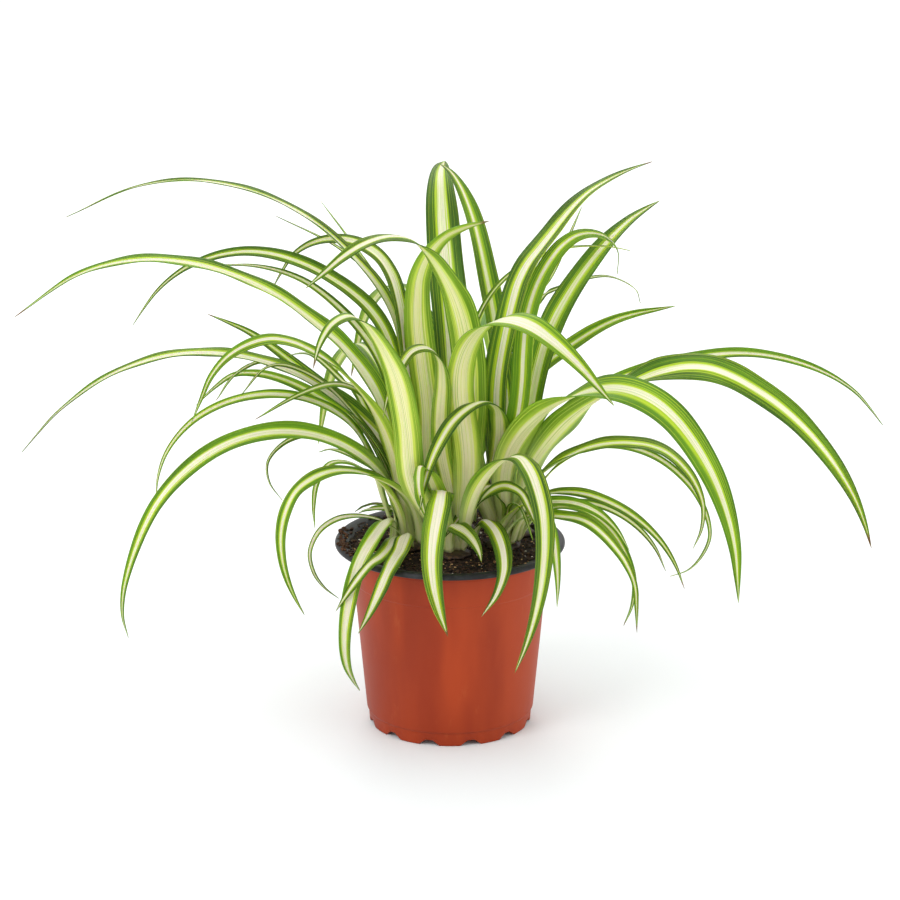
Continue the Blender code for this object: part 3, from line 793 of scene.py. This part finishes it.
def build_soil():
    top = [(SOIL_RADIUS * i / SOIL_RINGS, soil_high.z) for i in range(SOIL_RINGS + 1)]
    inside = -BAND_STEP - WALL - 0.3 * MM
    outline = [*top, (wall_radius(LIP_BOTTOM) + inside, LIP_BOTTOM - 3 * MM),
               (wall_radius(soil_low.z) + inside, soil_low.z + 3 * MM),
               (wall_radius(soil_low.z) + inside - 4 * MM, soil_low.z), (0.0, soil_low.z)]
    bm = turned(outline, SOIL_STEPS)
    for vert in bm.verts:
        if vert.co.z > soil_high.z - 1e-6:
            vert.co.z = soil_height(vert.co.x, vert.co.y)
    return bm


soil_mesh = build_soil()
print("soil top at", round(soil_high.z / MM, 1), "mm, with", len(soil_mesh.faces), "faces")

# %% [markdown]
# ### Soil finish
# Moist peat is almost black, and brown on its crumbs. A noise mixes the two and also raises the
# bump, so the darkest colour lies in the hollows: partly the peat's own colour, partly painted
# shade. A Voronoi texture adds a fine pale speck in the middle of each of its small cells.

# %% Soil finish
def soil_finish():
    f = Finish("potting_soil", Specular_IOR_Level=0.25)
    place = f.node("ShaderNodeTexCoord", None, None, 3)
    clumps = f.noise(place, 260.0, 4.0, 0.65)
    specks = f.node("ShaderNodeTexVoronoi", None, {"Vector": place, "Scale": 420.0})
    # darkest where the bump is lowest: painted shade in the hollows, on top of the peat's own dark
    # and brown
    colour = f.mix(linear(22, 15, 11), linear(64, 46, 34), f.ramp(clumps, 0.40, 0.70))
    colour = f.mix(colour, linear(150, 120, 84), f.ramp(specks, 0.16, 0.08) * 0.5)
    f.feed("Base Color", colour)
    f.feed("Roughness", clumps * 0.2 + 0.78)
    f.bump(clumps, 0.9 * MM, 0.9)
    return f.material


soil = new_piece("soil_surface", soil_mesh, soil_finish())
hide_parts("soil")
print("soil finished", soil.name)

# %% [markdown]
# ### Where grains lie
# A grain lies anywhere on the soil, and the square root spreads them evenly over the disc. A few
# crumbs were spilled over the left of the lip when the pot was filled. There they gather round
# one direction, so their angles come from a bell curve.

# %% Spots for grains
SPILL_DIRECTION = 188      # degrees from +X
SPILL_SPREAD = 12          # degrees


def on_soil(chance):
    """A random spot anywhere on the soil, between the stems too."""
    radius = 0.985 * SOIL_RADIUS * math.sqrt(chance.random())
    angle = chance.uniform(0.0, math.tau)
    x, y = radius * math.cos(angle), radius * math.sin(angle)
    return Vector((x, y, soil_height(x, y)))


def on_lip(chance):
    """A random spot on the left of the lip, where some soil was spilled."""
    radius = chance.uniform(SOIL_RADIUS - 2 * MM, lip_radius - 1.5 * MM)
    angle = math.radians(chance.gauss(SPILL_DIRECTION, SPILL_SPREAD))
    flat = lip_radius - 3 * LIP_ROUND
    dish = LIP_HOLLOW * max(0.0, (flat - radius) / (flat - BODY_TOP))
    return Vector((radius * math.cos(angle), radius * math.sin(angle), pot_height - dish))


print("a spot on the lip", [round(v / MM) for v in on_lip(random.Random(1))])

# %% [markdown]
# ### Grains
# Each grain is the smallest icosphere, pulled out of round, turned at random and half sunk. Over a
# thousand of them share one mesh, so each has only twenty faces. Dark crumbs, tan bark and grit,
# white perlite and the crumbs spilled on the lip are four pieces with finishes of their own.

# %% Grains
GRAINS = (
    # name, how many, smallest and largest size in mm, where, darkest and lightest colour
    ("peat_crumbs", 1700, 0.6, 2.6, on_soil, linear(24, 16, 12), linear(72, 50, 36)),
    ("bark_and_grit", 620, 0.35, 1.3, on_soil, linear(124, 88, 56), linear(216, 178, 126)),
    ("perlite", 90, 0.5, 1.2, on_soil, linear(206, 200, 186), linear(240, 238, 230)),
    ("spilled_crumbs", 110, 0.8, 2.6, on_lip, linear(40, 26, 18), linear(94, 60, 40)),
)
GRAIN_PATCHES = 300.0      # patches of colour per metre


def grains(count, smallest, largest, spot):
    """Rough lumps, each at a place that spot picks."""
    chance = random.Random(count)
    bm = bmesh.new()
    for _ in range(count):
        centre = spot(chance)
        size = smallest + (largest - smallest) * chance.random() ** 2.5
        made = bmesh.ops.create_icosphere(bm, subdivisions=1, radius=size)["verts"]
        squash = Vector((1.0, chance.uniform(0.5, 1.0), chance.uniform(0.4, 0.8)))
        turn = Matrix.Rotation(chance.uniform(0, math.tau), 3, "Z")
        tilt = Matrix.Rotation(chance.uniform(-0.6, 0.6), 3, "X")
        centre.z += 0.35 * size * squash.z
        for vert in made:
            rough = chance.uniform(0.8, 1.15)
            x, y, z = vert.co
            local = Vector((x * squash.x, y * squash.y, z * squash.z)) * rough
            vert.co = turn @ tilt @ local + centre
    bmesh.ops.recalc_face_normals(bm, faces=bm.faces)
    return bm


def grain_finish(name, dark, light):
    f = Finish(name, Specular_IOR_Level=0.25)
    place = f.node("ShaderNodeTexCoord", None, None, 3)
    patches = f.noise(place, GRAIN_PATCHES, 3.0, 0.6)
    f.feed("Base Color", f.mix(dark, light, f.ramp(patches, 0.35, 0.65)))
    f.feed("Roughness", patches * 0.25 + 0.68)
    f.bump(f.noise(place, GRAIN_PATCHES * 4.0, 3.0), 0.4 * MM, 0.8)
    return f.material


for name, count, smallest, largest, spot, dark, light in GRAINS:
    grain_mesh = grains(count, smallest * MM, largest * MM, spot)
    piece = new_piece(name, grain_mesh, grain_finish(name + "_finish", dark, light))
    piece.data.set_sharp_from_angle(angle=math.radians(35))
    print(name, count, "grains")

# %% [markdown]
# ## The crowns
# At the soil the leaves come out of short crowns, wrapped in the brown sheaths of older leaves. A
# crown is a low dome with upright ribs: a few turned rings, pushed in and out by a wave. It is
# dark brown towards the soil, and only its top is a dull olive.

# %% Crowns
CROWN_STEPS = 60
DOME_RINGS = 10
RIBS = 9
DARK_FOOT_TO = 2.5 * MM        # height above the soil where the dark brown starts to fade
OLIVE_FROM = 5.0 * MM


def crown_finish():
    f = Finish("crown_skin", Specular_IOR_Level=0.35)
    place = f.node("ShaderNodeTexCoord", None, None, 3)
    streaks = f.noise(place, 420.0, 3.0, 0.6)
    height = f.node("ShaderNodeSeparateXYZ", None, {0: place}, 2)
    olive_share = f.ramp(height, soil_high.z + DARK_FOOT_TO, soil_high.z + OLIVE_FROM)
    colour = f.mix(linear(46, 33, 24), linear(104, 98, 60), olive_share)
    colour = f.mix(colour, linear(92, 66, 42), f.ramp(streaks, 0.50, 0.64) * 0.8)
    f.feed("Base Color", colour)
    f.feed("Roughness", streaks * 0.3 + 0.4)
    f.bump(streaks, 0.5 * MM, 0.8)
    return f.material


def build_crown(node_name, material):
    low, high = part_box(node_name)
    centre = (low + high) / 2
    radius = (high.x - low.x) / 2
    height = high.z - low.z
    slopes = [math.pi / 2 * i / DOME_RINGS for i in range(DOME_RINGS)]
    dome = [(radius * math.cos(slope), low.z + height * math.sin(slope)) for slope in slopes]
    bm = turned([(0.0, low.z), *dome, (0.0, high.z)], CROWN_STEPS)
    for vert in bm.verts:
        angle = math.atan2(vert.co.y, vert.co.x)
        out = vert.co.xy.length / radius
        rib = 1 - 0.10 * out * (0.5 + 0.5 * math.sin(RIBS * angle + centre.x * 900))
        rough = 1 + 0.06 * noise.noise(vert.co * 300)
        vert.co.x *= rib * rough
        vert.co.y *= rib * rough
    bmesh.ops.translate(bm, verts=bm.verts, vec=(centre.x, centre.y, 0.0))
    piece = new_piece(node_name + "_sheaths", bm, material)
    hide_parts(node_name)


crown_material = crown_finish()
for node_name in sorted(frame["nodes"]):
    if node_name.endswith("_crown"):
        build_crown(node_name, crown_material)
        print(node_name)

# %% [markdown]
# ## Floor
# The plant stands on a plain pale floor that runs far past the view, so it has no edge to show.
# Near the pot the floor is painted darker and cooler: a painted contact shadow, tinted to cancel
# the warm light that the terracotta throws.

# %% Floor
FLOOR_SIZE = 12.0          # from its middle to its edge
SHADOW_TINT_TO = 0.10             # distance from the pot's axis where the painted shadow starts to fade
PLAIN_FROM = 0.50


def build_floor():
    bm = bmesh.new()
    bmesh.ops.create_grid(bm, x_segments=1, y_segments=1, size=FLOOR_SIZE)
    mesh = bpy.data.meshes.new("floor")
    bm.to_mesh(mesh)
    bm.free()
    f = Finish("pale_floor", Specular_IOR_Level=0.0, Roughness=0.9)
    place = f.node("ShaderNodeTexCoord", None, None, 3)
    away = f.node("ShaderNodeVectorMath", {"operation": "LENGTH"}, {0: place}, 1)
    # painted shadow: near the pot the floor is darker and cooler than far out
    near, far = (0.805, 0.845, 0.86, 1.0), (0.93, 0.93, 0.93, 1.0)
    plain = f.ramp(away + f.noise(place, 2.0) * 0.1, SHADOW_TINT_TO, PLAIN_FROM)
    f.feed("Base Color", f.mix(near, far, plain))
    mesh.materials.append(f.material)
    floor = bpy.data.objects.new("floor", mesh)
    bpy.context.scene.collection.objects.link(floor)


build_floor()
print("floor laid")

# %% [markdown]
# ## Light
# The light is soft and comes from all round. A large key light from the upper left and a weaker
# one from the right shape the leaves, a third from behind edges them, and a white sky fills the
# rest. The colours are shown as they are, without a film look.

# %% Light
SKY_STRENGTH = 1.08


def soft_light(name, place, size, watts):
    data = bpy.data.lights.new(name, "AREA")
    data.shape = "DISK"
    data.size = size
    data.energy = watts
    light = bpy.data.objects.new(name, data)
    bpy.context.scene.collection.objects.link(light)
    light.location = place
    light.rotation_euler = (Vector(place) - aim).to_track_quat("Z", "Y").to_euler()


soft_light("key", (-1.5, -1.6, 2.1), 1.2, 24)
soft_light("fill", (1.8, -1.2, 1.6), 1.4, 5)
soft_light("rim", (-0.2, 1.8, 2.0), 1.2, 15)
world = bpy.data.worlds.new("studio")
world.use_nodes = True
sky = world.node_tree.nodes["Background"]
sky.inputs["Color"].default_value = (1.0, 1.0, 1.0, 1.0)
sky.inputs["Strength"].default_value = SKY_STRENGTH
bpy.context.scene.world = world
bpy.context.scene.view_settings.view_transform = "Standard"
print("lights set")
